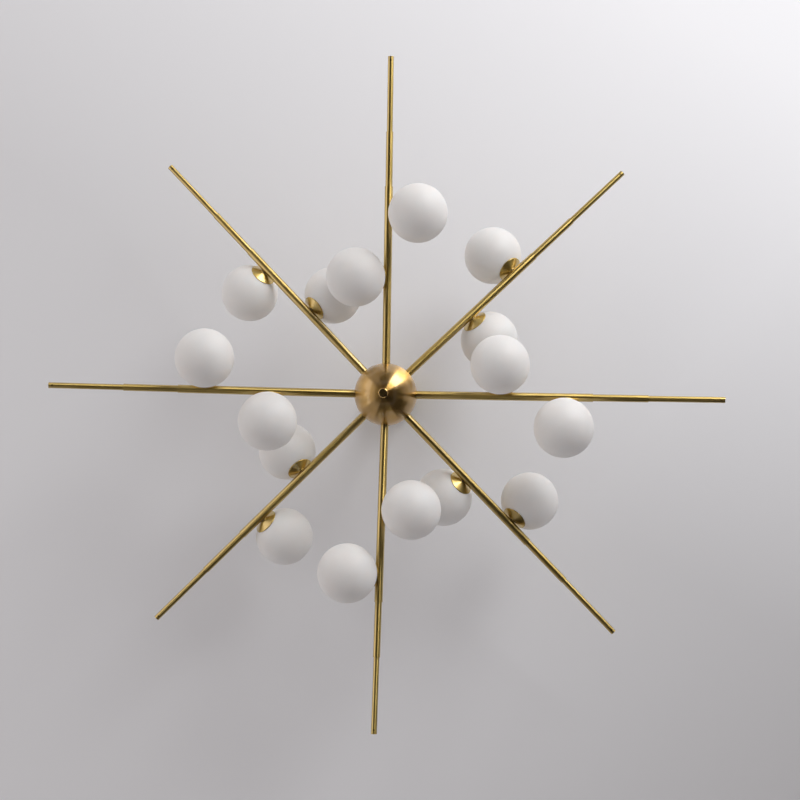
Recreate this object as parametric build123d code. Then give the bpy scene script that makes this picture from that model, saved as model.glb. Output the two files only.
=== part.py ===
from build123d import *
import math
import os

# Starburst chandelier, millimetres and degrees, +Z up.
# The origin is the centre of the ceiling plate's upper face, so everything hangs below it.
# Each arm is the same assembly; every second one is turned half a turn about its own axis.

# Arms: a row of stepped brass tubes, alternately tilted down and up
arm_count = 8
arm_tilt = 7.4
base_tube_diameter = 14.0
tube_wall = 0.95
tube_slip = 0.05
inner_globe_station = 201.0
globe_spacing = 109.0
base_tube_past_globe = 45.0
middle_tube_shows = 92.0
tip_tube_shows = 126.0
tube_overlap = 25.0

# Tip closure: a plug held by a hollow cross pin
plug_length = 16.0
pin_diameter = 3.0
pin_wall = 0.7
pin_from_end = 6.5
pin_recess = 0.6
pin_slip = 0.03

# Globes: satin opal glass with a threaded neck turned inward
globe_diameter = 100.0
globe_wall = 2.5
globe_roll = 60.0
globe_standoff = 10.0
neck_bore_diameter = 22.0
neck_depth = 8.0
neck_fit = 0.06

# Cups: shallow brass cones between tube and globe
cup_rim_diameter = 45.0
cup_rim_edge = 1.2
cup_boss_diameter = 13.0
cup_boss_height = 0.6
cup_wall = 1.2
cup_floor = 1.5
globe_seat_gap = 0.3

# Lampholders, their threaded nipples and the capsule lamps
nipple_diameter = 8.0
nipple_wall = 1.5
nipple_inset = 2.0
nipple_in_holder = 4.0
thread_slip = 0.05
holder_collar_lead = 1.0
holder_collar_length = 8.5
holder_nose_length = 7.0
holder_nose_wall = 2.2
holder_base_gap = 0.3
lamp_socket_depth = 5.0
lamp_base_diameter = 12.0
lamp_base_length = 8.0
lamp_diameter = 15.0
lamp_length = 38.0
lamp_slip = 0.2

# Ball hub: two thin half shells round a solid core
hub_drop = 230.0
hub_diameter = 108.0
hub_wall = 1.5
hub_cap = 3.5
hub_split_gap = 0.3
notch_gap = 0.4
core_reach = 32.0
core_half_height = 18.0
socket_depth = 12.0
wire_hole_diameter = 8.4
core_neck_wall = 5.0
lock_nut_thickness = 5.0
lock_nut_wall = 2.0
seat_gap = 0.1

# Rod and finial that hold the lower half shell
rod_diameter = 10.0
rod_engagement = 10.0
rod_in_finial = 4.2
rod_hole_gap = 0.3
finial_diameter = 17.0
finial_height = 7.0
finial_chamfer = 1.5
finial_fit = 0.06

# Stem from hub to ceiling
stem_diameter = 16.0
stem_wall = 1.5
stem_socket_depth = 25.0
stem_top_gap = 1.0
stem_fit = 0.06
collar_wall = 6.0
collar_height = 10.0
collar_chamfer = 2.0

# Ceiling plate with its swivel boss, and the nut that the stem hangs by
plate_thickness = 6.0
boss_wall = 6.0
boss_depth = 20.0
swivel_nut_wall = 4.0
swivel_nut_thickness = 3.0
swivel_nut_gap = 0.4
ceiling_screw_spacing = 50.0
ceiling_screw_hole = 5.2

# Canopy and the ring that carries it on the stem
canopy_diameter = 76.0
canopy_height = 48.0
canopy_wall = 1.2
canopy_corner = 4.0
canopy_ceiling_gap = 0.6
canopy_plate_gap = 0.8
canopy_stem_gap = 0.4
ring_wall = 4.5
ring_height = 12.0
ring_chamfer = 1.0
ring_screw_diameter = 4.0
ring_screw_recess = 0.4

# Terminal block on the plate's underside
terminal_width = 20.0
terminal_depth = 11.0
terminal_height = 13.0
terminal_ways = 3
terminal_hole_diameter = 3.0
terminal_gap = 1.0

# Sizes worked out from the ones above
base_radius = base_tube_diameter / 2
middle_radius = base_radius - tube_wall - tube_slip
tip_radius = middle_radius - tube_wall - tube_slip
outer_globe_station = inner_globe_station + globe_spacing
base_end = outer_globe_station + base_tube_past_globe
middle_end = base_end + middle_tube_shows
tip_end = middle_end + tip_tube_shows
base_start = core_reach - socket_depth + seat_gap

globe_radius = globe_diameter / 2
globe_offset = globe_radius + globe_standoff

cup_rim_radius = cup_rim_diameter / 2
cup_boss_radius = cup_boss_diameter / 2
cup_boss_top = base_radius + cup_boss_height
cup_floor_top = cup_boss_top + cup_floor
cup_rim_top = globe_offset - math.sqrt((globe_radius + globe_seat_gap) ** 2 - cup_rim_radius**2)
cup_slope = (cup_rim_radius - cup_boss_radius) / (cup_rim_top - cup_rim_edge - cup_boss_top)
cup_wall_across = cup_wall * math.hypot(1, cup_slope)


def cup_inner_radius(height):
    return cup_boss_radius + (height - cup_boss_top) * cup_slope - cup_wall_across


neck_bore_radius = neck_bore_diameter / 2
neck_radius = neck_bore_radius + globe_wall
neck_end = globe_standoff + neck_depth

nipple_radius = nipple_diameter / 2
nipple_bottom = base_radius - tube_wall - nipple_inset
collar_start = globe_standoff + holder_collar_lead
collar_end = collar_start + holder_collar_length
nose_end = collar_end + holder_nose_length
nipple_top = collar_start + nipple_in_holder
lamp_base_radius = lamp_base_diameter / 2
lamp_bottom = nose_end - lamp_socket_depth
nose_radius = lamp_base_radius + lamp_slip + holder_nose_wall

hub_radius = hub_diameter / 2
hub_inner_radius = hub_radius - hub_wall
stem_radius = stem_diameter / 2
stem_bore_radius = stem_radius - stem_wall
collar_radius = stem_radius + collar_wall
rod_radius = rod_diameter / 2
finial_radius = finial_diameter / 2
top_land = math.sqrt(hub_radius**2 - collar_radius**2)
bottom_land = -math.sqrt(hub_radius**2 - finial_radius**2)
top_seat = top_land - hub_cap
bottom_seat = bottom_land + hub_cap
stem_bottom = top_seat - stem_socket_depth
finial_top = bottom_land - seat_gap
rod_top = -core_half_height + rod_engagement
rod_bottom = finial_top - rod_in_finial
lock_nut_radius = base_radius + lock_nut_wall

canopy_radius = canopy_diameter / 2
canopy_inner_radius = canopy_radius - canopy_wall
plate_radius = canopy_inner_radius - canopy_plate_gap
boss_radius = stem_radius + boss_wall
swivel_nut_radius = stem_radius + swivel_nut_wall
canopy_top = -canopy_ceiling_gap
canopy_bottom = canopy_top - canopy_height
ring_radius = stem_radius + ring_wall

hub_place = Pos(0, 0, -hub_drop)
globe_sides = {"inner": (inner_globe_station, -1), "outer": (outer_globe_station, 1)}


def disc(radius, low, high):
    return Pos(0, 0, (low + high) / 2) * Cylinder(radius, high - low)


def ring(outer_radius, inner_radius, low, high):
    return disc(outer_radius, low, high) - disc(inner_radius, low, high)


def turned(points):
    """A solid turned about Z from (radius, height) points."""
    outline = make_face(Polyline(*points, close=True))
    return revolve(Plane.XZ * outline, axis=Axis.Z)


def arm_place(index):
    """Z runs out along the arm and X points to the side that carries its globes."""
    around = math.radians(360 / arm_count * index)
    tilt = math.radians(arm_tilt)
    up = 1 if index % 2 else -1
    along = (math.cos(around) * math.cos(tilt), math.sin(around) * math.cos(tilt), up * math.sin(tilt))
    globe_side = (-math.cos(around) * math.sin(tilt), -math.sin(around) * math.sin(tilt), up * math.cos(tilt))
    return hub_place * Plane(origin=(0, 0, 0), x_dir=globe_side, z_dir=along).location


def globe_place(side):
    """Z runs from the arm's axis to the globe's centre."""
    station, turn = globe_sides[side]
    roll = math.radians(globe_roll) * turn
    outward = (math.cos(roll), math.sin(roll), 0)
    return Plane(origin=(0, 0, station), x_dir=(0, 0, 1), z_dir=outward).location


def base_tube():
    tube = ring(base_radius, middle_radius + tube_slip, base_start, base_end)
    for side in globe_sides:
        tube -= globe_place(side) * disc(nipple_radius + thread_slip, 0, base_radius + cup_boss_height)
    return tube


def middle_tube():
    return ring(middle_radius, tip_radius + tube_slip, base_end - tube_overlap, middle_end)


def cross_hole(slip):
    return Pos(0, 0, tip_end - pin_from_end) * Rot(0, 90, 0) * Cylinder(
        pin_diameter / 2 + slip, 2 * base_tube_diameter
    )


def tip_tube():
    tube = ring(tip_radius, tip_radius - tube_wall, middle_end - tube_overlap, tip_end)
    return tube - cross_hole(pin_slip)


def end_plug():
    plug = disc(tip_radius - tube_wall - tube_slip, tip_end - plug_length, tip_end)
    return plug - cross_hole(pin_slip)


def end_pin():
    half_length = tip_radius - pin_recess
    pin = ring(pin_diameter / 2, pin_diameter / 2 - pin_wall, -half_length, half_length)
    return Pos(0, 0, tip_end - pin_from_end) * Rot(0, 90, 0) * pin


def globe():
    centre = Pos(0, 0, globe_offset)
    hollow = centre * Sphere(globe_radius - globe_wall) - disc(neck_radius, 0, neck_end)
    return centre * Sphere(globe_radius) - hollow - disc(neck_bore_radius, 0, globe_offset)


def globe_cup():
    boss_hole = nipple_radius + thread_slip
    cup = turned(
        [
            (boss_hole, 0),
            (cup_boss_radius, 0),
            (cup_boss_radius, cup_boss_top),
            (cup_rim_radius, cup_rim_top - cup_rim_edge),
            (cup_rim_radius, cup_rim_top),
            (cup_inner_radius(cup_rim_top), cup_rim_top),
            (cup_inner_radius(cup_floor_top), cup_floor_top),
            (boss_hole, cup_floor_top),
        ]
    )
    tube_saddle = Rot(0, 90, 0) * Cylinder(base_radius, 4 * cup_rim_diameter)
    seat = Pos(0, 0, globe_offset) * Sphere(globe_radius + globe_seat_gap)
    return cup - tube_saddle - seat


def globe_nipple():
    return ring(nipple_radius, nipple_radius - nipple_wall, nipple_bottom, nipple_top)


def lamp_holder():
    base_radius_in_cup = cup_inner_radius(cup_floor_top) - holder_base_gap
    holder = disc(base_radius_in_cup, cup_floor_top, collar_start)
    holder += disc(neck_bore_radius - neck_fit, collar_start, collar_end)
    holder += disc(nose_radius, collar_end, nose_end)
    holder -= disc(nipple_radius + thread_slip, cup_floor_top, nipple_top)
    return holder - disc(lamp_base_radius + lamp_slip, lamp_bottom, nose_end)


def lamp():
    shoulder = lamp_bottom + lamp_base_length
    dome = shoulder + lamp_length - lamp_diameter / 2
    capsule = disc(lamp_base_radius, lamp_bottom, shoulder)
    capsule += disc(lamp_diameter / 2, shoulder, dome)
    return capsule + Pos(0, 0, dome) * Sphere(lamp_diameter / 2)


def lock_nut():
    across_corners = lock_nut_radius / math.cos(math.pi / 6)
    blank = extrude(RegularPolygon(across_corners, 6), lock_nut_thickness)
    nut = blank - disc(base_radius + tube_slip, 0, lock_nut_thickness)
    return Pos(0, 0, core_reach) * nut


def hub_core():
    across = 2 * hub_diameter
    core = disc(core_reach / math.cos(math.pi / arm_count) + lock_nut_wall, -core_half_height, core_half_height)
    core += disc(stem_radius + core_neck_wall, core_half_height, top_seat)
    core -= disc(rod_radius + thread_slip, -core_half_height, top_seat)
    core -= disc(stem_radius + thread_slip, stem_bottom, top_seat)
    core = hub_place * core
    for index in range(arm_count):
        facet = Pos(0, 0, core_reach + across / 2) * Box(2 * core_reach, across, across)
        socket = disc(base_radius + tube_slip, core_reach - socket_depth, core_reach)
        wire_hole = disc(wire_hole_diameter / 2, 0, core_reach)
        core -= arm_place(index) * (facet + socket + wire_hole)
    return core


def hub_shell(up):
    """Half a ball, cut flat at its pole and open at its rim where its own arms pass."""
    land = top_land if up > 0 else bottom_land
    seat = top_seat if up > 0 else bottom_seat
    pole_hole = stem_radius + canopy_stem_gap if up > 0 else rod_radius + rod_hole_gap
    rim = up * hub_split_gap / 2
    half = Box(hub_diameter, hub_diameter, abs(land - rim))
    half = Pos(0, 0, (land + rim) / 2) * half
    hollow = Sphere(hub_inner_radius) & Pos(0, 0, (seat - up * hub_radius) / 2) * Box(
        hub_diameter, hub_diameter, abs(seat) + hub_radius
    )
    shell = (Sphere(hub_radius) & half) - hollow - Cylinder(pole_hole, 2 * hub_diameter)
    shell = hub_place * shell
    passage = base_radius + notch_gap
    axis_height = up * hub_radius * math.sin(math.radians(arm_tilt))
    for index in range(arm_count):
        shell -= arm_place(index) * disc(passage, core_reach, hub_diameter)
        if (index % 2 == 1) == (up > 0):
            slot = Pos(hub_radius, 0, axis_height / 2) * Box(core_reach, 2 * passage, abs(axis_height))
            shell -= hub_place * Rot(0, 0, 360 / arm_count * index) * slot
    return shell


def hub_rod():
    return hub_place * disc(rod_radius, rod_bottom, rod_top)


def finial():
    low = finial_top - finial_height
    button = turned(
        [
            (0, low),
            (finial_radius - finial_chamfer, low),
            (finial_radius, low + finial_chamfer),
            (finial_radius, finial_top),
            (0, finial_top),
        ]
    )
    return hub_place * (button - disc(rod_radius + finial_fit, rod_bottom - seat_gap, finial_top))


def stem():
    return ring(stem_radius, stem_bore_radius, stem_bottom - hub_drop, -stem_top_gap)


def stem_collar():
    high = top_land + collar_height
    bore = stem_radius + thread_slip
    collar = turned(
        [
            (bore, top_land),
            (collar_radius, top_land),
            (collar_radius, high - collar_chamfer),
            (collar_radius - collar_chamfer, high),
            (bore, high),
        ]
    )
    return hub_place * collar


def stem_top_nut():
    top = -stem_top_gap
    return ring(swivel_nut_radius, stem_radius + thread_slip, top - swivel_nut_thickness, top)


def ceiling_plate():
    recess = stem_top_gap + swivel_nut_thickness + seat_gap
    plate = disc(plate_radius, -plate_thickness, 0) + disc(boss_radius, -boss_depth, 0)
    plate -= disc(stem_radius + stem_fit, -boss_depth, 0)
    plate -= disc(swivel_nut_radius + swivel_nut_gap, -recess, 0)
    for side in (-1, 1):
        plate -= Pos(side * ceiling_screw_spacing / 2, 0, 0) * disc(ceiling_screw_hole / 2, -plate_thickness, 0)
    return plate


def terminal_block():
    near = boss_radius + terminal_gap
    block = Box(terminal_width, terminal_depth, terminal_height)
    pitch = terminal_width / terminal_ways
    for way in range(terminal_ways):
        across = (way - (terminal_ways - 1) / 2) * pitch
        block -= Pos(across, 0, -terminal_height / 4) * Rot(90, 0, 0) * Cylinder(
            terminal_hole_diameter / 2, terminal_depth
        )
    return Pos(0, near + terminal_depth / 2, -plate_thickness - terminal_height / 2) * block


def canopy():
    shell = disc(canopy_radius, canopy_bottom, canopy_top)
    shell = fillet(shell.edges().sort_by(Axis.Z)[0], canopy_corner)
    hollow = disc(canopy_inner_radius, canopy_bottom + canopy_wall, canopy_top)
    hollow = fillet(hollow.edges().sort_by(Axis.Z)[0], canopy_corner - canopy_wall)
    return shell - hollow - disc(stem_radius + canopy_stem_gap, canopy_bottom, canopy_top)


def ring_screw_hole(radius, near, far):
    height = canopy_bottom - ring_height / 2
    return Pos((near + far) / 2, 0, height) * Rot(0, 90, 0) * Cylinder(radius, far - near)


def canopy_ring():
    low = canopy_bottom - ring_height
    bore = stem_radius + stem_fit
    collar = turned(
        [
            (bore, low),
            (ring_radius - ring_chamfer, low),
            (ring_radius, low + ring_chamfer),
            (ring_radius, canopy_bottom),
            (bore, canopy_bottom),
        ]
    )
    return collar - ring_screw_hole(ring_screw_diameter / 2 + thread_slip, 0, 2 * ring_radius)


def canopy_ring_screw():
    tip = stem_radius + stem_fit
    return ring_screw_hole(ring_screw_diameter / 2, tip, ring_radius - ring_screw_recess)


def copies(piece, per_globe):
    """One solid for each arm, or for each globe of each arm."""
    solids = []
    for index in range(arm_count):
        if per_globe:
            solids += [arm_place(index) * globe_place(side) * piece for side in globe_sides]
        else:
            solids.append(arm_place(index) * piece)
    return Compound([solid for shape in solids for solid in shape.solids()])


def all_pieces():
    pieces = {
        "ceiling_plate": ceiling_plate(),
        "terminal_block": terminal_block(),
        "canopy": canopy(),
        "canopy_ring": canopy_ring(),
        "canopy_ring_screw": canopy_ring_screw(),
        "stem": stem(),
        "stem_top_nut": stem_top_nut(),
        "stem_collar": stem_collar(),
        "hub_core": hub_core(),
        "hub_shell_upper": hub_shell(1),
        "hub_shell_lower": hub_shell(-1),
        "hub_rod": hub_rod(),
        "finial": finial(),
        "arm_lock_nuts": copies(lock_nut(), False),
        "end_plugs": copies(end_plug(), False),
        "end_pins": copies(end_pin(), False),
        "globe_cups": copies(globe_cup(), True),
        "globe_nipples": copies(globe_nipple(), True),
        "lamp_holders": copies(lamp_holder(), True),
        "lamps": copies(lamp(), True),
    }
    tubes = {"base_tube": base_tube(), "middle_tube": middle_tube(), "tip_tube": tip_tube()}
    glass = globe()
    for index in range(arm_count):
        for name, tube in tubes.items():
            pieces[f"arm_{index + 1}_{name}"] = arm_place(index) * tube
        for side in globe_sides:
            pieces[f"globe_{index + 1}_{side}"] = arm_place(index) * globe_place(side) * glass
    return pieces


os.makedirs("parts", exist_ok=True)
for node, piece in all_pieces().items():
    export_step(piece, f"parts/{node}.step")
print(f"span between opposite tips {2 * tip_end * math.cos(math.radians(arm_tilt)):.0f} mm")
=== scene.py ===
"""The looks of a starburst chandelier: satin brass tubes, cups and ball, and satin opal glass globes."""

import math

import bmesh
import bpy
from mathutils import Matrix, Vector


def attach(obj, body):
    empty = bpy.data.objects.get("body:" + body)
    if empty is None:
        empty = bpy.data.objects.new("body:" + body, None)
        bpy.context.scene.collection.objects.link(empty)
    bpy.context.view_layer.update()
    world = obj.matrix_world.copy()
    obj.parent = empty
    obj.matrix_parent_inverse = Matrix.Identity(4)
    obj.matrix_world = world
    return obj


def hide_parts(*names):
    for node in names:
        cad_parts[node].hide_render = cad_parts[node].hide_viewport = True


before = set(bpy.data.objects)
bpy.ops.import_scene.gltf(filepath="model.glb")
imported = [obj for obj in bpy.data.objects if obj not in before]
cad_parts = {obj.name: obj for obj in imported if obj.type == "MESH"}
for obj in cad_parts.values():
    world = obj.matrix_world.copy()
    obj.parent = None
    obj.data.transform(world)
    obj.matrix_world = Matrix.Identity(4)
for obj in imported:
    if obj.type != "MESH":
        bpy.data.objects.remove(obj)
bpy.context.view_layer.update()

# Sizes in millimetres and angles in degrees, as in the frame
MM = 0.001
sharp_corner = 35.0
arm_count = 8
arm_tilt = 7.4
hub_drop = 230.0
tube_radii = {"base_tube": 7.0, "middle_tube": 6.0, "tip_tube": 5.0}
tube_spans = {"base_tube": (20.1, 355.0), "middle_tube": (330.0, 447.0), "tip_tube": (422.0, 573.0)}
tube_wall = 0.95
tube_edge = 0.3
plug_length = 16.0
plug_gap = 0.05
plug_edge = 0.5
pin_radius = 1.53
pin_from_end = 6.5
globe_radius = 50.0
globe_wall = 2.5
globe_offset = 60.0
globe_roll = 60.0
globe_stations = {"inner": (201.0, -1), "outer": (310.0, 1)}
neck_bore_radius = 11.0
neck_radius = 13.5
neck_end = 18.0
neck_lip_reach = 0.6
neck_lip_depth = 0.5
cup_hole_radius = 4.05
cup_boss_radius = 6.5
cup_boss_top = 7.6
cup_rim_radius = 22.5
cup_rim_edge = 1.2
cup_corner = 0.4
cup_floor_top = 9.1
cup_floor_radius = 7.0
cup_seat_inner_radius = 9.0
cup_seat_gap = 0.3
hub_radius = 54.0
hub_wall = 1.5
hub_cap = 3.5
hub_split_gap = 0.3
hub_stem_gap = 0.4
notch_radius = 7.4
core_reach = 32.0
finial_radius = 8.5
finial_height = 7.0
finial_chamfer = 1.5
finial_edge = 0.3
finial_gap = 0.1
finial_bore_radius = 5.06
finial_bore_depth = 4.3
rod_hole_radius = 5.3
stem_radius = 8.0
stem_wall = 1.5
stem_top = -1.0
stem_in_ball = 25.0
collar_radius = 14.0
collar_height = 10.0
collar_chamfer = 2.0
collar_edge = 0.5
collar_gap = 0.05
canopy_radius = 38.0
canopy_wall = 1.2
canopy_top = -0.6
canopy_bottom = -48.6
canopy_corner = 4.0
canopy_stem_gap = 0.4
ring_radius = 12.5
ring_height = 12.0
ring_chamfer = 1.0
ring_edge = 0.4
ring_stem_gap = 0.06
ring_screw_radius = 2.05
plate_radius = 36.0
plate_margin = 0.5

# Camera, found by fitting the globes, tube steps and tips to the photograph
camera_place = (208.3, 118.84, -3051.75)
camera_target = (24.89, 9.04, -230.0)
camera_roll = -1.42
camera_lens = 74.12
camera_sensor = 36.0
camera_far = 100000.0

# Colours; a pair holds the two tones that a finish lies between
tube_tones = ("#D6BC72", "#BFA254")
# The ball's tones are brass warmed by a painted reflection of the warm room, so they are redder than the
# tubes'
ball_brass_and_painted_reflection_tones = ("#DDB66C", "#C79C52")
opal_tones = ("#F3F1EE", "#E9E5E2")
zinc_tones = ("#B9BBBC", "#A7AAAC")
black_tones = ("#2A2826", "#1B1A19")
ceramic_tones = ("#EFECE4", "#E2DED4")
plastic_tones = ("#E9E8E3", "#DCDBD5")
alloy_tones = ("#A9A9A7", "#929391")
lamp_tones = ("#F6F1E4", "#ECE6D6")
# The ceiling's second tone is painted shade: the paint gets darker away from the window
ceiling_paint_and_painted_shade_tones = ("#E4E6E9", "#5C5653")
# The colour of the painted window light that glows on the ceiling
ceiling_painted_light_colour = "#FBFBFF"
floor_colour = "#DEDDDB"
flag_colour = "#141210"
room_colour = "#F7F0F0"
window_colour = "#FFFEFE"
fill_colour = "#FFF8F4"

# The way over the ceiling in which painted window light brightens it, the span of that along it and that
# glow's strengths
ceiling_painted_light_way = (0.5, -0.87, 0.0)
ceiling_painted_light_span = (0.0, 0.9)
ceiling_painted_light_strengths = (0.0, 0.2)

# The way over the ceiling in which painted shade darkens it, and the span of that along it
ceiling_painted_shade_way = (0.8, 0.6, 0.0)
ceiling_painted_shade_span = (0.4, 2.8)

# The studio, in metres
ceiling_reach = 5.0
ceiling_lift = 0.0005
floor_width = 60.0
floor_drop = 4.6
floor_wash = 0.2

# Black cards, in metres: one lies below, the others stand. Width, height, centre and turn in degrees
low_card_width = 4.8
low_card_drop = 3.6
standing_cards = {
    "flag_top": (1.7, 2.2, (-0.15, -2.9, -1.7), 180.0),
    "flag_right": (4.0, 3.4, (2.7, 0.7, -1.75), -90.0),
    "flag_bottom": (3.9, 3.4, (0.75, 2.7, -1.75), 0.0),
}

# Lamps: the way from the ball to each, its distance and size in metres, and its power in watts
window_way = (0.58, -0.767, -0.38)
window_distance = 3.0
window_size = (1.35, 2.5)
window_power = 60.0
sheen_size = (1.6, 2.5)
sheen_power = 85.0
fill_way = (-0.96, -0.10, -0.34)
fill_distance = 3.2
fill_size = (4.6, 1.6)
fill_power = 30.0
room_strength = 0.43


def linear(colour):
    """An sRGB hex colour as linear RGBA."""
    parts = [int(colour[i : i + 2], 16) / 255 for i in (1, 3, 5)]
    return [p / 12.92 if p <= 0.04045 else ((p + 0.055) / 1.055) ** 2.4 for p in parts] + [1.0]


def add(tree, kind, inputs=None, **settings):
    """A node with its settings; an input is a value or the socket that feeds it."""
    node = tree.nodes.new(kind)
    for key, value in settings.items():
        setattr(node, key, value)
    for key, value in (inputs or {}).items():
        if isinstance(value, bpy.types.NodeSocket):
            tree.links.new(value, node.inputs[key])
        else:
            node.inputs[key].default_value = value
    return node


def new_material(name, **sockets):
    """A material whose shader has these even values, and its tree and shader."""
    material = bpy.data.materials.new(name)
    material.use_nodes = True
    shader = material.node_tree.nodes["Principled BSDF"]
    for key, value in sockets.items():
        shader.inputs[key.replace("_", " ").title().replace("Ior", "IOR")].default_value = value
    return material, material.node_tree, shader


def two_tones(tree, shader, factor, tones):
    """The shader's colour, between two tones."""
    blend = add(tree, "ShaderNodeMix", {"Factor": factor}, data_type="RGBA")
    for socket, tone in zip(("A", "B"), tones):
        blend.inputs[socket].default_value = linear(tone)
    tree.links.new(blend.outputs["Result"], shader.inputs["Base Color"])


def worked_surface(tree, shader, pattern, strength, depth, gloss=None):
    """Relief of a depth in millimetres, and uneven gloss from least to most roughness where given."""
    relief = add(tree, "ShaderNodeBump", {"Height": pattern, "Strength": strength, "Distance": depth * MM})
    tree.links.new(relief.outputs["Normal"], shader.inputs["Normal"])
    if gloss:
        spread = add(tree, "ShaderNodeMapRange", {"Value": pattern, "To Min": gloss[0], "To Max": gloss[1]})
        tree.links.new(spread.outputs["Result"], shader.inputs["Roughness"])


def turned_brass(name, tones, spread, gloss, relief):
    """Lacquered brass, satined with fine emery while it turns.
    The scratches run round each piece, so highlights stretch along it: straight lines on a tube, wedges on
    the ball and soft ones on the cups. Real scratches are some 0.05 mm apart. They are drawn 0.6 mm apart,
    in stretches of a third of a turn, so that they show."""
    scratch_spacing = 0.6
    stretches_round = 3.0
    cloud_size = 40.0
    relief_strength = 0.5
    lacquer = {"coat_weight": 1.0, "coat_roughness": 0.15, "coat_ior": 1.6}
    material, tree, shader = new_material(name, metallic=1.0, anisotropic=spread, **lacquer)
    wrap = add(tree, "ShaderNodeUVMap", uv_map="turned")
    scratches = add(
        tree,
        "ShaderNodeMapping",
        {"Vector": wrap.outputs["UV"], "Scale": (1 / (scratch_spacing * MM), stretches_round, 1.0)},
    )
    fine = add(tree, "ShaderNodeTexNoise", {"Vector": scratches.outputs[0], "Scale": 1.0, "Detail": 3.0})
    where = add(tree, "ShaderNodeTexCoord").outputs["Object"]
    cloud = add(tree, "ShaderNodeTexNoise", {"Vector": where, "Scale": 1 / (cloud_size * MM)})
    two_tones(tree, shader, cloud.outputs["Fac"], tones)
    worked_surface(tree, shader, fine.outputs["Fac"], relief_strength, relief, gloss)
    along = add(tree, "ShaderNodeTangent", direction_type="UV_MAP", uv_map="turned")
    tree.links.new(along.outputs["Tangent"], shader.inputs["Tangent"])
    return material


def opal_glass():
    """Blown opal glass, etched satin: white all through, soft, with no sharp highlight.
    The etching's grain is some 0.05 mm and is drawn at 0.8 mm."""
    cloud_size = 60.0
    grain_size = 0.8
    glow_depth = 5.0
    material, tree, shader = new_material(
        "satin_opal_glass",
        roughness=0.55,
        ior=1.5,
        specular_ior_level=0.35,
        subsurface_weight=1.0,
        subsurface_scale=glow_depth * MM,
        subsurface_radius=(1.0, 0.9, 0.85),
    )
    where = add(tree, "ShaderNodeTexCoord").outputs["Object"]
    cloud = add(tree, "ShaderNodeTexNoise", {"Vector": where, "Scale": 1 / (cloud_size * MM)})
    grain = add(tree, "ShaderNodeTexNoise", {"Vector": where, "Scale": 1 / (grain_size * MM)})
    two_tones(tree, shader, cloud.outputs["Fac"], opal_tones)
    worked_surface(tree, shader, grain.outputs["Fac"], strength=0.05, depth=0.05)
    return material


def grained(name, tones, grain_size, gloss, depth, metallic=0.0):
    """A plain hidden finish: two close tones, uneven gloss and a fine grain of the given size."""
    material, tree, shader = new_material(name, metallic=metallic)
    where = add(tree, "ShaderNodeTexCoord").outputs["Object"]
    grain = add(tree, "ShaderNodeTexNoise", {"Vector": where, "Scale": 1 / (grain_size * MM)})
    two_tones(tree, shader, grain.outputs["Fac"], tones)
    worked_surface(tree, shader, grain.outputs["Fac"], strength=0.2, depth=depth, gloss=gloss)
    return material


def arc(centre, radius, start, end, count):
    """Points of a round stretch; the angles run from the turning axis's top."""
    angles = [math.radians(start + (end - start) * i / count) for i in range(count + 1)]
    return [(radius * math.sin(a), centre + radius * math.cos(a)) for a in angles]


def eased(points, corners, radius):
    """The outline with the named corners rounded, four points each."""
    outline = []
    for index, point in enumerate(points):
        here = Vector(point)
        if index not in corners:
            outline.append(here)
            continue
        before = (Vector(points[index - 1]) - here).normalized()
        after = (Vector(points[(index + 1) % len(points)]) - here).normalized()
        for step in range(4):
            t = step / 3
            outline.append(here + radius * (before * (1 - t) ** 2 + after * t**2))
    return outline


def turn_on_lathe(outline, steps, closed=True):
    """A turned shape about Z.
    Its UV map runs along the outline, in metres, and round the axis, in turns."""
    shape = bmesh.new()
    along = shape.verts.layers.float.new("along")
    points = [Vector((x * MM, 0, z * MM)) for x, z in outline]
    rim = []
    travelled = 0.0
    for index, point in enumerate(points):
        if index:
            travelled += (point - points[index - 1]).length
        vert = shape.verts.new(point)
        vert[along] = travelled
        rim.append(vert)
    pairs = list(zip(rim, rim[1:])) + ([(rim[-1], rim[0])] if closed else [])
    edges = [shape.edges.new(pair) for pair in pairs]
    bmesh.ops.spin(
        shape,
        geom=rim + edges,
        axis=(0, 0, 1),
        cent=(0, 0, 0),
        angle=math.tau,
        steps=steps,
        use_merge=True,
    )
    bmesh.ops.remove_doubles(shape, verts=shape.verts, dist=1e-7)
    bmesh.ops.dissolve_degenerate(shape, edges=shape.edges, dist=1e-8)
    bmesh.ops.recalc_face_normals(shape, faces=shape.faces)
    wrap = shape.loops.layers.uv.new("turned")
    for face in shape.faces:
        middle = face.calc_center_median()
        around = math.atan2(middle.y, middle.x)
        for loop in face.loops:
            spot = loop.vert.co
            swing = 0.0
            if math.hypot(spot.x, spot.y) > 1e-7:
                swing = (math.atan2(spot.y, spot.x) - around + math.pi) % math.tau - math.pi
            loop[wrap].uv = (loop.vert[along], (around + swing) / math.tau)
    return shape


def cut(shape, cutters):
    """The turned shape with each cutter's shape taken out, its UV map kept."""
    body = as_object("cut_body", shape)
    for index, cutter in enumerate(cutters):
        tool = as_object(f"cut_tool_{index}", cutter)
        knife = body.modifiers.new("cut", "BOOLEAN")
        knife.object = tool
        knife.operation = "DIFFERENCE"
        knife.solver = "EXACT"
        depsgraph = bpy.context.evaluated_depsgraph_get()
        mesh = bpy.data.meshes.new_from_object(body.evaluated_get(depsgraph))
        body.modifiers.clear()
        body.data = mesh
        bpy.data.objects.remove(tool)
    result = bmesh.new()
    result.from_mesh(body.data)
    bpy.data.objects.remove(body)
    return result


def as_object(name, shape):
    """The shape as an object of the scene, for a modifier to work on."""
    mesh = bpy.data.meshes.new(name)
    shape.to_mesh(mesh)
    piece = bpy.data.objects.new(name, mesh)
    bpy.context.scene.collection.objects.link(piece)
    return piece


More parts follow.
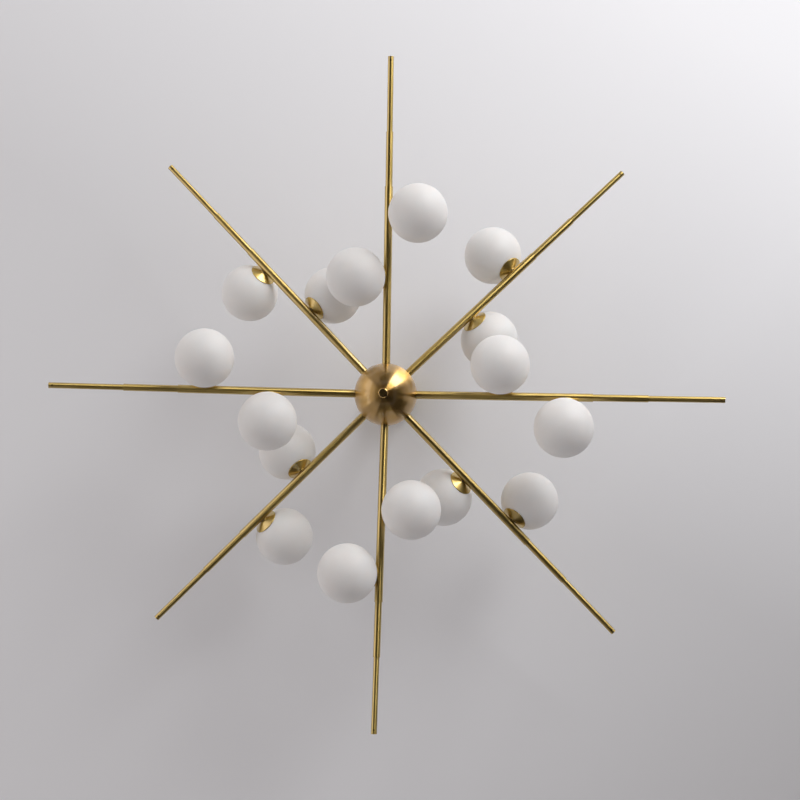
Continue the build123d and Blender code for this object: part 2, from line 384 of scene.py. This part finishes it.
def dress(name, shape, places, material, body, nodes):
    """One piece made of copies of a shape, riding on its body in place of its nodes."""
    mesh = bpy.data.meshes.new(name)
    whole = bmesh.new()
    for place in places:
        whole_copy = shape.copy()
        bmesh.ops.transform(whole_copy, matrix=place, verts=whole_copy.verts)
        whole_copy.to_mesh(mesh)
        whole_copy.free()
        whole.from_mesh(mesh)
    whole.to_mesh(mesh)
    whole.free()
    mesh.polygons.foreach_set("use_smooth", [True] * len(mesh.polygons))
    mesh.set_sharp_from_angle(angle=math.radians(sharp_corner))
    mesh.materials.append(material)
    piece = bpy.data.objects.new(name, mesh)
    bpy.context.scene.collection.objects.link(piece)
    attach(piece, body)
    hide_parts(*nodes)
    return piece


def frame_matrix(origin, x_axis, z_axis):
    """The place of a piece whose own X and Z lie along these."""
    y_axis = z_axis.cross(x_axis)
    turn = Matrix((x_axis, y_axis, z_axis)).transposed().to_4x4()
    return Matrix.Translation(origin) @ turn


def arm_place(index):
    """Z runs out along the arm and X points to the side that carries its globes."""
    around = math.tau / arm_count * index
    tilt = math.radians(arm_tilt)
    up = 1 if index % 2 else -1
    outward = Vector((math.cos(around), math.sin(around), 0))
    upward = Vector((0, 0, up))
    along = outward * math.cos(tilt) + upward * math.sin(tilt)
    globe_side = upward * math.cos(tilt) - outward * math.sin(tilt)
    return frame_matrix(Vector((0, 0, -hub_drop * MM)), globe_side, along)


def globe_place(side):
    """Z runs from the arm's axis to the globe's centre."""
    station, turn = globe_stations[side]
    roll = math.radians(globe_roll) * turn
    outward = Vector((math.cos(roll), math.sin(roll), 0))
    return frame_matrix(Vector((0, 0, station * MM)), Vector((0, 0, 1)), outward)


arm_places = [arm_place(index) for index in range(arm_count)]
hub_place = Matrix.Translation((0, 0, -hub_drop * MM))
upright = Matrix.Identity(4)


def ring_outline(inner, outer, low, high, edge):
    """A tube's wall, rounded at its outer edges; the outline closes along the bore."""
    corners = [(inner, low), (outer, low), (outer, high), (inner, high)]
    return eased(corners, (1, 2), edge)


def round_cutter(radius, low, high, segments=48):
    """A plain round solid along Z."""
    tool = bmesh.new()
    bmesh.ops.create_cone(
        tool,
        cap_ends=True,
        segments=segments,
        radius1=radius * MM,
        radius2=radius * MM,
        depth=(high - low) * MM,
    )
    bmesh.ops.translate(tool, vec=(0, 0, (low + high) / 2 * MM), verts=tool.verts)
    return tool


def cross_drill(radius, low, high, height):
    """A round cutter along X, at a height."""
    drill = round_cutter(radius, low, high, 32)
    quarter_turn = Matrix.Rotation(math.pi / 2, 3, "Y")
    bmesh.ops.rotate(drill, cent=(0, 0, 0), matrix=quarter_turn, verts=drill.verts)
    bmesh.ops.translate(drill, vec=(0, 0, height * MM), verts=drill.verts)
    return drill


def make_tubes(brass):
    """Three nesting tubes to an arm, the outermost with a cross hole near its end."""
    for name, radius in tube_radii.items():
        low, high = tube_spans[name]
        tube = turn_on_lathe(ring_outline(radius - tube_wall, radius, low, high, tube_edge), 64)
        if name == "tip_tube":
            tube = cut(tube, [cross_drill(pin_radius, -3 * radius, 3 * radius, high - pin_from_end)])
        for index, place in enumerate(arm_places):
            node = f"arm_{index + 1}_{name}"
            dress(f"{node}_brass", tube, [place], brass, "star", [node])


def make_end_plugs(brass):
    """A round plug in the end of each arm, flush with the tube."""
    radius = tube_radii["tip_tube"] - tube_wall - plug_gap
    low, high = tube_spans["tip_tube"][1] - plug_length, tube_spans["tip_tube"][1]
    outline = eased([(0, low), (radius, low), (radius, high), (0, high)], (2,), plug_edge)
    plug = turn_on_lathe(outline, 48, closed=False)
    dress("end_plugs_brass", plug, arm_places, brass, "star", ["end_plugs"])


def make_cups(brass):
    """Shallow cones with a fine edge; inside, a seat that follows the globe."""
    low = tube_radii["base_tube"] - tube_wall / 2
    seat_radius = globe_radius + cup_seat_gap
    rim_top = globe_offset - math.sqrt(seat_radius**2 - cup_rim_radius**2)
    seat_start = math.degrees(math.asin(cup_rim_radius / seat_radius))
    seat_end = math.degrees(math.asin(cup_seat_inner_radius / seat_radius))
    corners = [
        (cup_hole_radius, low),
        (cup_boss_radius, low),
        (cup_boss_radius, cup_boss_top),
        (cup_rim_radius, rim_top - cup_rim_edge),
        (cup_rim_radius, rim_top),
    ]
    outline = [tuple(p) for p in eased(corners, (2, 3), cup_corner)]
    outline += arc(globe_offset, seat_radius, 180 - seat_start, 180 - seat_end, 12)[1:]
    outline += [(cup_floor_radius, cup_floor_top), (cup_hole_radius, cup_floor_top)]
    cup = turn_on_lathe(outline, 96)
    places = [arm @ globe_place(side) for arm in arm_places for side in globe_stations]
    dress("globe_cups_brass", cup, places, brass, "star", ["globe_cups"])


def make_globes(glass):
    """Blown balls, each with a neck turned inward."""
    inner = globe_radius - globe_wall
    outer_end = math.degrees(math.asin((neck_bore_radius + neck_lip_reach) / globe_radius))
    inner_end = math.degrees(math.asin(neck_radius / inner))
    lip = globe_offset - math.sqrt(globe_radius**2 - neck_bore_radius**2) + neck_lip_depth
    outline = arc(globe_offset, globe_radius, 0, 180 - outer_end, 56)
    outline += [(neck_bore_radius, lip), (neck_bore_radius, neck_end), (neck_radius, neck_end)]
    outline += arc(globe_offset, inner, 180 - inner_end, 0, 48)
    globe = turn_on_lathe(outline, 96, closed=False)
    for index, arm in enumerate(arm_places):
        for side in globe_stations:
            node = f"globe_{index + 1}_{side}"
            dress(f"{node}_glass", globe, [arm @ globe_place(side)], glass, node, [node])


def make_ball(brass):
    """Two half shells with notches at their rims, so that each can leave the arms it lies over."""
    inner = hub_radius - hub_wall
    top_land = math.sqrt(hub_radius**2 - collar_radius**2)
    bottom_land = -math.sqrt(hub_radius**2 - finial_radius**2)
    halves = {
        "hub_shell_upper": (1, top_land, stem_radius + hub_stem_gap, collar_radius, "star"),
        "hub_shell_lower": (-1, bottom_land, rod_hole_radius, finial_radius, "hub_cover"),
    }
    for node, (up, land, hole, land_radius, body) in halves.items():
        seat = land - up * hub_cap
        rim = up * hub_split_gap / 2
        rim_angle = math.degrees(math.acos(rim / hub_radius))
        land_angle = math.degrees(math.acos(land / hub_radius))
        seat_angle = math.degrees(math.acos(seat / inner))
        inner_rim = math.degrees(math.acos(rim / inner))
        outline = [(hole, seat), (hole, land)]
        outline += arc(0, hub_radius, land_angle, rim_angle, 40)
        outline += arc(0, inner, inner_rim, seat_angle, 32)
        shell = turn_on_lathe(outline, 160)
        cutters = []
        for index, arm in enumerate(arm_places):
            notch = round_cutter(notch_radius, core_reach, 2 * hub_radius, 64)
            if (index % 2 == 1) == (up > 0):
                for vert in notch.verts:
                    if vert.co.x < -1e-6:
                        vert.co.x = -2 * notch_radius * MM
            bmesh.ops.transform(notch, matrix=hub_place.inverted() @ arm, verts=notch.verts)
            cutters.append(notch)
        shell = cut(shell, cutters)
        dress(f"{node}_brass", shell, [hub_place], brass, body, [node])


def make_finial(brass):
    """A chamfered button, bored for the rod's end."""
    top = -math.sqrt(hub_radius**2 - finial_radius**2) - finial_gap
    low = top - finial_height
    bore_end = top - finial_bore_depth
    corners = [
        (0, low),
        (finial_radius - finial_chamfer, low),
        (finial_radius, low + finial_chamfer),
        (finial_radius, top),
        (finial_bore_radius, top),
        (finial_bore_radius, bore_end),
        (0, bore_end),
    ]
    button = turn_on_lathe(eased(corners, (1, 2, 3), finial_edge), 72, closed=False)
    dress("finial_brass", button, [hub_place], brass, "finial", ["finial"])


def make_stem(brass):
    """The stem and the collar on top of the ball."""
    land = math.sqrt(hub_radius**2 - collar_radius**2) - hub_drop
    low = land - hub_cap - stem_in_ball
    tube = turn_on_lathe(ring_outline(stem_radius - stem_wall, stem_radius, low, stem_top, tube_edge), 72)
    dress("stem_brass", tube, [upright], brass, "star", ["stem"])
    high = land + collar_height
    corners = [
        (stem_radius + collar_gap, land),
        (collar_radius, land),
        (collar_radius, high - collar_chamfer),
        (collar_radius - collar_chamfer, high),
        (stem_radius + collar_gap, high),
    ]
    collar = turn_on_lathe(eased(corners, (1, 2, 3), collar_edge), 72)
    dress("stem_collar_brass", collar, [upright], brass, "star", ["stem_collar"])


def make_canopy(brass):
    """The canopy and the ring that carries it on the stem."""
    hole = stem_radius + canopy_stem_gap
    inner = canopy_radius - canopy_wall
    corners = [
        (inner, canopy_top),
        (inner, canopy_bottom + canopy_wall),
        (hole, canopy_bottom + canopy_wall),
        (hole, canopy_bottom),
        (canopy_radius, canopy_bottom),
        (canopy_radius, canopy_top),
    ]
    corners = eased(corners, (1, 4), canopy_corner)
    cup = turn_on_lathe(list(reversed(corners)), 128)
    dress("canopy_brass", cup, [upright], brass, "canopy", ["canopy"])
    bore = stem_radius + ring_stem_gap
    low = canopy_bottom - ring_height
    corners = [
        (bore, low),
        (ring_radius - ring_chamfer, low),
        (ring_radius, low + ring_chamfer),
        (ring_radius, canopy_bottom),
        (bore, canopy_bottom),
    ]
    ring = turn_on_lathe(eased(corners, (1, 2), ring_edge), 72)
    ring = cut(ring, [cross_drill(ring_screw_radius, 0, 2 * ring_radius, canopy_bottom - ring_height / 2)])
    dress("canopy_ring_brass", ring, [upright], brass, "canopy", ["canopy_ring"])


def finish_hidden_nodes():
    """Pieces that stay as they are in the frame get their real finishes."""
    # Zinc plating: a cool grey half mirror
    zinc = grained("zinc_plated_steel", zinc_tones, 0.5, (0.28, 0.42), 0.01, metallic=1.0)
    # Blackened steel: near black and dull
    black = grained("blackened_steel", black_tones, 0.4, (0.4, 0.55), 0.01, metallic=0.8)
    # Unglazed ceramic: chalky, warm white
    ceramic = grained("unglazed_ceramic", ceramic_tones, 0.7, (0.55, 0.75), 0.03)
    # Moulded polyamide: off-white with a soft gloss
    plastic = grained("moulded_polyamide", plastic_tones, 0.5, (0.35, 0.5), 0.02)
    # Cast aluminium: mid grey with a sandy grain
    alloy = grained("cast_aluminium", alloy_tones, 0.8, (0.35, 0.55), 0.04, metallic=1.0)
    # A frosted capsule: milky, warm white
    frosted = grained("frosted_lamp_capsule", lamp_tones, 0.6, (0.4, 0.55), 0.01)
    finishes = {
        "ceiling_plate": zinc,
        "stem_top_nut": zinc,
        "arm_lock_nuts": zinc,
        "hub_rod": zinc,
        "globe_nipples": zinc,
        "end_pins": black,
        "canopy_ring_screw": black,
        "hub_core": alloy,
        "terminal_block": plastic,
        "lamp_holders": ceramic,
        "lamps": frosted,
    }
    for node, material in finishes.items():
        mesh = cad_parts[node].data
        mesh.materials.clear()
        mesh.materials.append(material)


def flat_card(width, height):
    """A rectangle about the origin, facing Z."""
    sheet = bmesh.new()
    bmesh.ops.create_grid(sheet, x_segments=1, y_segments=1, size=0.5)
    bmesh.ops.scale(sheet, vec=(width, height, 1.0), verts=sheet.verts)
    return sheet


def flat_ring(hole, reach):
    """A round sheet with a hole, about the origin and facing Z."""
    sheet = bmesh.new()
    for radius in (hole, reach):
        bmesh.ops.create_circle(sheet, segments=96, radius=radius)
    bmesh.ops.bridge_loops(sheet, edges=sheet.edges)
    for face in sheet.faces:
        face.normal_update()
        if face.normal.z < 0:
            face.normal_flip()
    return sheet


def stage_sheet(name, sheet, place, material):
    """A flat sheet of the studio, put in its place."""
    mesh = bpy.data.meshes.new(name)
    bmesh.ops.transform(sheet, matrix=place, verts=sheet.verts)
    sheet.to_mesh(mesh)
    sheet.free()
    mesh.materials.append(material)
    plane = bpy.data.objects.new(name, mesh)
    bpy.context.scene.collection.objects.link(plane)
    return plane


def seen_glow(tree, shader, colour, strength):
    """A glow that is only seen or mirrored, and casts no light; its strength is a value or a socket."""
    path = add(tree, "ShaderNodeLightPath")
    seen = path.outputs["Is Camera Ray"]
    for ray in ("Is Glossy Ray", "Is Transmission Ray"):
        seen = add(tree, "ShaderNodeMath", {0: seen, 1: path.outputs[ray]}, operation="MAXIMUM").outputs[0]
    shown = add(tree, "ShaderNodeMath", {0: strength, 1: seen}, operation="MULTIPLY")
    shader.inputs["Emission Color"].default_value = linear(colour)
    tree.links.new(shown.outputs[0], shader.inputs["Emission Strength"])


def ceiling_paint():
    """Pale matt paint, darkened by painted shade away from the window.
    Towards the window a painted light glows on it a little, only to the eye and in mirrors. Its back lets
    sight through."""
    material, tree, shader = new_material("ceiling_paint", roughness=0.9)
    place = add(tree, "ShaderNodeTexCoord")

    def graded(way, start, end):
        where = place.outputs["Object"]
        along = add(tree, "ShaderNodeVectorMath", {0: where, 1: way}, operation="DOT_PRODUCT")
        span = {"Value": along.outputs["Value"], "From Min": start, "From Max": end}
        return add(tree, "ShaderNodeMapRange", span)

    # Painted shade: the ceiling's colour darkens away from the window
    shade_grading = graded(ceiling_painted_shade_way, *ceiling_painted_shade_span)
    two_tones(tree, shader, shade_grading.outputs["Result"], ceiling_paint_and_painted_shade_tones)
    # Painted light: a glow on the ceiling that grows towards the window
    wash = graded(ceiling_painted_light_way, *ceiling_painted_light_span)
    wash.inputs["To Min"].default_value = ceiling_painted_light_strengths[0]
    wash.inputs["To Max"].default_value = ceiling_painted_light_strengths[1]
    seen_glow(tree, shader, ceiling_painted_light_colour, wash.outputs["Result"])
    clear = add(tree, "ShaderNodeBsdfTransparent")
    side = add(tree, "ShaderNodeNewGeometry")
    mix = add(
        tree,
        "ShaderNodeMixShader",
        {0: side.outputs["Backfacing"], 1: shader.outputs[0], 2: clear.outputs[0]},
    )
    tree.links.new(mix.outputs[0], tree.nodes["Material Output"].inputs["Surface"])
    return material


def make_stage():
    """A ceiling and a floor, and black cards that only the brass mirrors, as a dim room would stand there.
    The ceiling is open over the ceiling plate, so that the plate's back isn't black from above."""
    ceiling = flat_ring((plate_radius - plate_margin) * MM, ceiling_reach)
    turned_down = Matrix.Translation((0, 0, ceiling_lift)) @ Matrix.Rotation(math.pi, 4, "X")
    stage_sheet("ceiling", ceiling, turned_down, ceiling_paint())
    floor_material, tree, shader = new_material("floor_paint", roughness=0.9)
    shader.inputs["Base Color"].default_value = linear(floor_colour)
    seen_glow(tree, shader, floor_colour, floor_wash)
    floor_place = Matrix.Translation((0, 0, -floor_drop))
    floor = stage_sheet("floor", flat_card(floor_width, floor_width), floor_place, floor_material)
    floor.visible_diffuse = False
    floor.visible_glossy = False
    floor.visible_shadow = False
    flag_material, _, shader = new_material("black_flag", roughness=0.9)
    shader.inputs["Base Color"].default_value = linear(flag_colour)
    low_card_place = Matrix.Translation((0, 0, -low_card_drop))
    low_card = flat_card(low_card_width, low_card_width)
    cards = [stage_sheet("flag_below", low_card, low_card_place, flag_material)]
    stand = Matrix.Rotation(math.pi / 2, 4, "X")
    for name, (width, height, centre, around) in standing_cards.items():
        place = Matrix.Translation(centre) @ Matrix.Rotation(math.radians(around), 4, "Z") @ stand
        cards.append(stage_sheet(name, flat_card(width, height), place, flag_material))
    for card in cards:
        card.visible_camera = False
        card.visible_diffuse = False
        card.visible_transmission = False
        card.visible_shadow = False


def area_lamp(name, place, target, size, power, colour):
    """A soft lamp that faces its target; its size is width and height."""
    data = bpy.data.lights.new(name, "AREA")
    data.shape = "RECTANGLE"
    data.size, data.size_y = size
    data.energy = power
    data.color = linear(colour)[:3]
    lamp = bpy.data.objects.new(name, data)
    lamp.location = place
    lamp.rotation_mode = "QUATERNION"
    lamp.rotation_quaternion = (Vector(target) - Vector(place)).to_track_quat("-Z", "Y")
    bpy.context.scene.collection.objects.link(lamp)
    return lamp


def make_light():
    """A window, its stronger sheen on glossy faces alone, a soft light across the room and an even room."""
    hub = Vector((0, 0, -hub_drop * MM))
    window = hub + Vector(window_way) * window_distance
    area_lamp("window", window, hub, window_size, window_power, window_colour)
    sheen = area_lamp("window_sheen", window, hub, sheen_size, sheen_power, window_colour)
    sheen.visible_diffuse = False
    sheen.visible_transmission = False
    fill = hub + Vector(fill_way) * fill_distance
    area_lamp("fill", fill, hub, fill_size, fill_power, fill_colour)
    world = bpy.data.worlds.new("studio")
    bpy.context.scene.world = world
    world.use_nodes = True
    back = world.node_tree.nodes["Background"]
    back.inputs["Color"].default_value = linear(room_colour)
    back.inputs["Strength"].default_value = room_strength


def make_camera():
    """The photograph's view, nearly straight up; the room's -Y points up in the picture."""
    data = bpy.data.cameras.new("photo_view")
    data.lens = camera_lens
    data.sensor_width = camera_sensor
    camera = bpy.data.objects.new("photo_view", data)
    place, target = Vector(camera_place) * MM, Vector(camera_target) * MM
    forward = (target - place).normalized()
    level = (Vector((0, -1, 0)) - forward * -forward.y).normalized()
    up = Matrix.Rotation(math.radians(camera_roll), 3, forward) @ level
    camera.matrix_world = frame_matrix(place, forward.cross(up), -forward)
    data.clip_end = camera_far * MM
    bpy.context.scene.collection.objects.link(camera)
    bpy.context.scene.camera = camera


# Drawn tubes, the spun ball, pressed cups and the polished button at the ball's pole
tube_brass = turned_brass("satin_brass", tube_tones, spread=1.0, gloss=(0.29, 0.36), relief=0.005)
ball_brass = turned_brass("satin_brass_spun", ball_brass_and_painted_reflection_tones, spread=1.0, gloss=(0.27, 0.34), relief=0.15)
cup_brass = turned_brass("satin_brass_pressed", tube_tones, spread=0.5, gloss=(0.36, 0.44), relief=0.005)
knob_brass = turned_brass("polished_brass", ball_brass_and_painted_reflection_tones, spread=0.4, gloss=(0.18, 0.24), relief=0.005)
glass = opal_glass()
make_tubes(tube_brass)
make_end_plugs(tube_brass)
make_cups(cup_brass)
make_globes(glass)
make_ball(ball_brass)
make_finial(knob_brass)
make_stem(tube_brass)
make_canopy(tube_brass)
finish_hidden_nodes()
make_stage()
make_light()
make_camera()
bpy.context.scene.view_settings.view_transform = "Standard"
